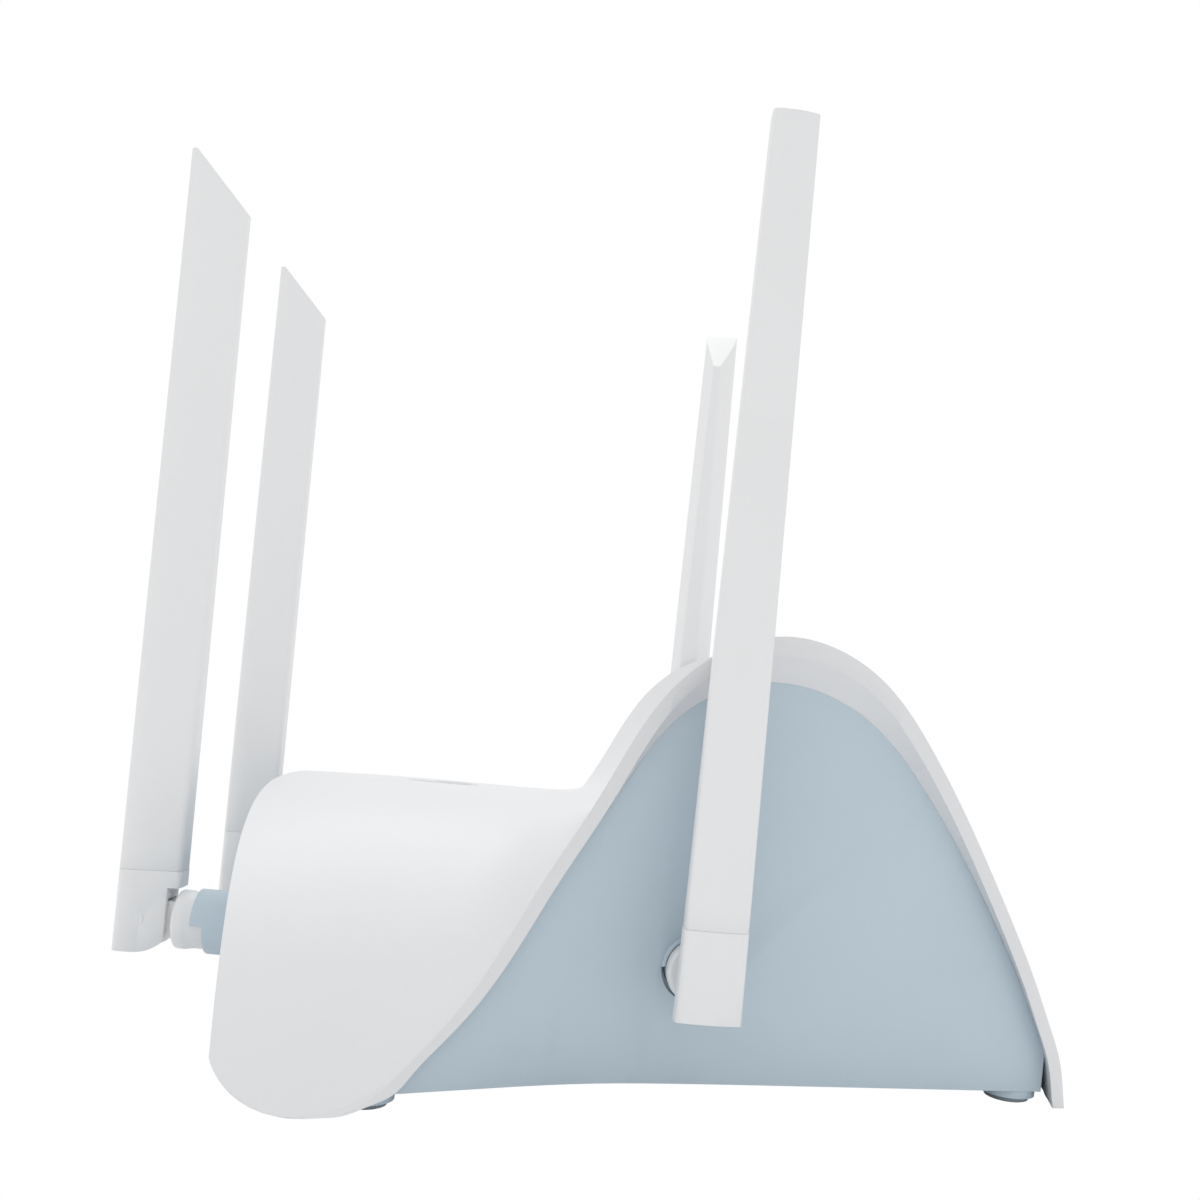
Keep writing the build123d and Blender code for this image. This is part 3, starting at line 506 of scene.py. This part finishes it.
def blade_shape(name):
    """The sleeve above the seam, with its slanted tip and a fine step at the seam."""
    shape = bmesh.new()
    heights = [(seam, seam_step), (seam + seam_step, 0.0)]
    heights += [(seam + seam_step + (blade_top - seam - seam_step) * k / 30, 0.0) for k in range(1, 31)]
    rings = [[shape.verts.new(point) for point in blade_ring(z, inset)] for z, inset in heights]
    for low, high in zip(rings, rings[1:]):
        for k in range(len(low)):
            shape.faces.new((low[k - 1], low[k], high[k], high[k - 1]))
    shape.faces.new(rings[0])
    shape.faces.new(rings[-1])
    bmesh.ops.recalc_face_normals(shape, faces=shape.faces)
    for face in shape.faces:
        face.smooth = len(face.verts) == 4
    cut = bmesh.ops.bisect_plane(shape, geom=shape.verts[:] + shape.edges[:] + shape.faces[:], clear_outer=True,
                                 plane_co=((blade_face - tip_flat) * MM, 0, blade_top * MM),
                                 plane_no=(-math.sin(tip_slope), 0, math.cos(tip_slope)))
    rim = [item for item in cut["geom_cut"] if isinstance(item, bmesh.types.BMEdge)]
    bmesh.ops.contextual_create(shape, geom=rim)
    bmesh.ops.recalc_face_normals(shape, faces=shape.faces)
    # Only the edges round the tip's faces are rounded later, so only they are given a weight.
    weight = shape.edges.layers.float.new("bevel_weight_edge")
    for edge in shape.edges:
        if edge.verts[0].co.z > (blade_top - tip_length) * MM and len(edge.link_faces) == 2:
            if any(len(face.verts) > 4 for face in edge.link_faces):
                edge[weight] = 1.0
    mesh = bpy.data.meshes.new(name)
    shape.to_mesh(mesh)
    shape.free()
    return mesh


def at_mount(piece, x, y, z, heading):
    """Move a mesh drawn in an antenna's own frame to that antenna's mount."""
    piece.transform(Matrix.Translation(((x - object_middle) * MM, y * MM, z * MM))
                    @ Matrix.Rotation(math.radians(heading), 4, "Z"))


antenna_white = moulded_plastic("antenna_white", (0.83, 0.835, 0.84), 0.38, 1500.0, 0.12, 0.015)
rear_y, rear_z, side_x, side_z, side_turn = 38.5, 22.0, 23.9, 26.5, 7.0
wall_inset, collar_stand = 3.3, 1.6
side_y = float(half_width(side_x)) - wall_inset + collar_stand
mounts = {"rear_left": (rear_mount_x, rear_y, rear_z, 180.0),
          "rear_right": (rear_mount_x, -rear_y, rear_z, 180.0),
          "side_left": (side_x, side_y, side_z, 90.0 - side_turn),
          "side_right": (side_x, -side_y, side_z, side_turn - 90.0)}
for corner, mount in mounts.items():
    blade = blade_shape(corner + "_blade")
    at_mount(blade, *mount)
    blade.materials.append(antenna_white)
    blade_piece = bpy.data.objects.new(corner + "_blade", blade)
    scene.collection.objects.link(blade_piece)
    soft = blade_piece.modifiers.new("edge_radius", "BEVEL")
    soft.width = 0.7 * MM
    soft.segments = 4
    soft.limit_method = "WEIGHT"
    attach(blade_piece, corner + "_antenna")
    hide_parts(corner + "_sleeve")

# ---- Antenna joints -------------------------------------------------------------------------------
# The blade's lower part is a forked knuckle that tilts on a pin over the swivel's tongue. The white
# swivel turns in a blue-grey collar pressed into the wall.
for corner in mounts:
    finish_node(corner + "_knuckle", antenna_white, 0.55 * MM, 40.0)
    finish_node(corner + "_hinge_pin", antenna_white, 0.1 * MM)
    finish_node(corner + "_swivel", antenna_white, 0.25 * MM)
    finish_node(corner + "_collar", wall_blue, 0.3 * MM)

# ---- Network ports --------------------------------------------------------------------------------
# Four ports in a row: a black glass-filled block in a folded tin-plated shield, with eight thin
# gold-plated spring contacts in each.

# Plated or rolled metal is never even: fine streaks along its length vary its shine.
plated_metal, given, result = new_group(
    "plated_metal",
    [("Colour", "NodeSocketColor", (0.6, 0.6, 0.6, 1.0)), ("Roughness", "NodeSocketFloat", 0.3)],
    [("Colour", "NodeSocketColor"), ("Roughness", "NodeSocketFloat"), ("Normal", "NodeSocketVector")])
place = plated_metal.nodes.new("ShaderNodeTexCoord")
stretch = plated_metal.nodes.new("ShaderNodeMapping")
stretch.inputs["Scale"].default_value = (150.0, 2200.0, 2200.0)
streaks = plated_metal.nodes.new("ShaderNodeTexNoise")
streaks.inputs["Scale"].default_value = 1.0
streaks.inputs["Detail"].default_value = 3.0
shine = plated_metal.nodes.new("ShaderNodeMath")
shine.operation = "MULTIPLY_ADD"
shine.inputs[1].default_value = 0.2
relief = plated_metal.nodes.new("ShaderNodeBump")
relief.inputs["Strength"].default_value = 0.15
relief.inputs["Distance"].default_value = 0.00003
for start, end in (
        (place.outputs["Object"], stretch.inputs["Vector"]),
        (stretch.outputs["Vector"], streaks.inputs["Vector"]),
        (streaks.outputs["Fac"], shine.inputs[0]), (given.outputs["Roughness"], shine.inputs[2]),
        (shine.outputs[0], result.inputs["Roughness"]), (given.outputs["Colour"], result.inputs["Colour"]),
        (streaks.outputs["Fac"], relief.inputs["Height"]), (relief.outputs["Normal"], result.inputs["Normal"])):
    plated_metal.links.new(start, end)


def metal(name, colour, roughness):
    """A plated metal finish with this piece's colour and roughness."""
    material = bpy.data.materials.new(name)
    material.use_nodes = True
    shader = material.node_tree.nodes["Principled BSDF"]
    shader.inputs["Metallic"].default_value = 1.0
    skin = material.node_tree.nodes.new("ShaderNodeGroup")
    skin.node_tree = plated_metal
    skin.inputs["Colour"].default_value = (*colour, 1.0)
    skin.inputs["Roughness"].default_value = roughness
    material.node_tree.links.new(skin.outputs["Colour"], shader.inputs["Base Color"])
    material.node_tree.links.new(skin.outputs["Roughness"], shader.inputs["Roughness"])
    material.node_tree.links.new(skin.outputs["Normal"], shader.inputs["Normal"])
    return material


component_black = moulded_plastic("component_black", (0.028, 0.028, 0.031), 0.5, 1100.0, 0.3, 0.1)
steel = metal("steel", (0.62, 0.63, 0.64), 0.22)
contact_metal = metal("contact_metal", (0.83, 0.62, 0.27), 0.16)
finish_node("port_block", component_black, 0.15 * MM)
finish_node("port_shield", steel, 0.08 * MM)
rear_inset, port_middle, port_opening_height = 7.0, 16.2, 7.0
port_count, port_pitch, contact_count, contact_pitch, contact_width = 4, 14.0, 8, 1.02, 0.4
contact_top = port_opening_height / 2
contact_line = [(13.5, contact_top), (4.3, contact_top), (4.0, contact_top - 0.12), (4.15, contact_top - 0.35),
                (9.5, contact_top - 2.25), (9.85, contact_top - 2.2), (9.9, contact_top - 1.9),
                (6.1, contact_top - 0.4), (13.5, contact_top - 0.4)]
contact_shape = bmesh.new()
sides = [[contact_shape.verts.new((x * MM, y * MM, z * MM)) for x, z in contact_line]
         for y in (-contact_width / 2, contact_width / 2)]
contact_shape.faces.new(sides[0])
contact_shape.faces.new(sides[1])
for k in range(len(contact_line)):
    contact_shape.faces.new((sides[0][k - 1], sides[0][k], sides[1][k], sides[1][k - 1]))
bmesh.ops.recalc_face_normals(contact_shape, faces=contact_shape.faces)
contact_mesh = bpy.data.meshes.new("spring_contact")
contact_shape.to_mesh(contact_mesh)
contact_shape.free()
contact_places = [(rear_inset - cover_rear,
                   (port - (port_count - 1) / 2) * port_pitch + (pin - (contact_count - 1) / 2) * contact_pitch,
                   port_middle) for port in range(port_count) for pin in range(contact_count)]
contact_rows = copies_at("contact_rows", contact_mesh, contact_places, contact_metal)
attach(contact_rows, "root")
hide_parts("port_contacts")

# ---- Power inlet, buttons and light -----------------------------------------------------------------
# A black round-plug inlet beside the ports, two grey press buttons on the other side, and a clear
# light guide under the recess on the ridge.
finish_node("power_inlet", component_black, 0.2 * MM)
finish_node("power_inlet_pin", contact_metal, 0.1 * MM)
button_grey = moulded_plastic("button_grey", (0.62, 0.66, 0.70), 0.45, 1500.0, 0.15, 0.02)
for button in ("wps_button", "reset_button"):
    finish_node(button, button_grey, 0.15 * MM)
lens_clear = moulded_plastic("lens_clear", (0.86, 0.89, 0.91), 0.2, 1500.0, 0.05, 0.01, subsurface=0.4)
finish_node("status_lens", lens_clear, 0.1 * MM)
finish_node("status_led", lens_clear)

# ---- Board and screws ---------------------------------------------------------------------------------
# A green solder-masked board on four posts carries the chips, their steel shields and the aerial
# leads, which are black jacketed cable ending in small plated plugs.
solder_mask, given, result = new_group(
    "solder_mask", [("Colour", "NodeSocketColor", (0.05, 0.2, 0.1, 1.0))],
    [("Colour", "NodeSocketColor"), ("Height", "NodeSocketFloat")])
place = solder_mask.nodes.new("ShaderNodeTexCoord")
traces = solder_mask.nodes.new("ShaderNodeTexBrick")
traces.offset = 0.37
traces.squash = 0.6
traces.inputs["Scale"].default_value = 260.0
traces.inputs["Mortar Size"].default_value = 0.035
traces.inputs["Mortar"].default_value = (0.10, 0.33, 0.18, 1.0)
for start, end in (
        (place.outputs["Object"], traces.inputs["Vector"]), (given.outputs["Colour"], traces.inputs["Color1"]),
        (given.outputs["Colour"], traces.inputs["Color2"]), (traces.outputs["Color"], result.inputs["Colour"]),
        (traces.outputs["Fac"], result.inputs["Height"])):
    solder_mask.links.new(start, end)
board_green = bpy.data.materials.new("board_green")
board_green.use_nodes = True
board_shader = board_green.node_tree.nodes["Principled BSDF"]
board_shader.inputs["Roughness"].default_value = 0.35
board_shader.inputs["Coat Weight"].default_value = 0.3
mask = board_green.node_tree.nodes.new("ShaderNodeGroup")
mask.node_tree = solder_mask
mask.inputs["Colour"].default_value = (0.035, 0.16, 0.08, 1.0)
ridges = board_green.node_tree.nodes.new("ShaderNodeBump")
ridges.inputs["Strength"].default_value = 0.2
ridges.inputs["Distance"].default_value = 0.00005
board_green.node_tree.links.new(mask.outputs["Colour"], board_shader.inputs["Base Color"])
board_green.node_tree.links.new(mask.outputs["Height"], ridges.inputs["Height"])
board_green.node_tree.links.new(ridges.outputs["Normal"], board_shader.inputs["Normal"])
finish_node("main_board", board_green, 0.1 * MM)
for name in ("memory_chip", "flash_chip", "network_transformers", "capacitors", "tact_switches"):
    finish_node(name, component_black)
for name in ("radio_shield_can", "processor_shield_can", "crystal", "board_screws"):
    finish_node(name, steel)
finish_node("case_screws", steel, 0.1 * MM)
cable_black = moulded_plastic("cable_black", (0.02, 0.02, 0.022), 0.45, 1200.0, 0.1, 0.05)
for corner in mounts:
    finish_node(corner + "_lead", cable_black)
    finish_node(corner + "_radiator", contact_metal)
finish_node("antenna_connectors", contact_metal)
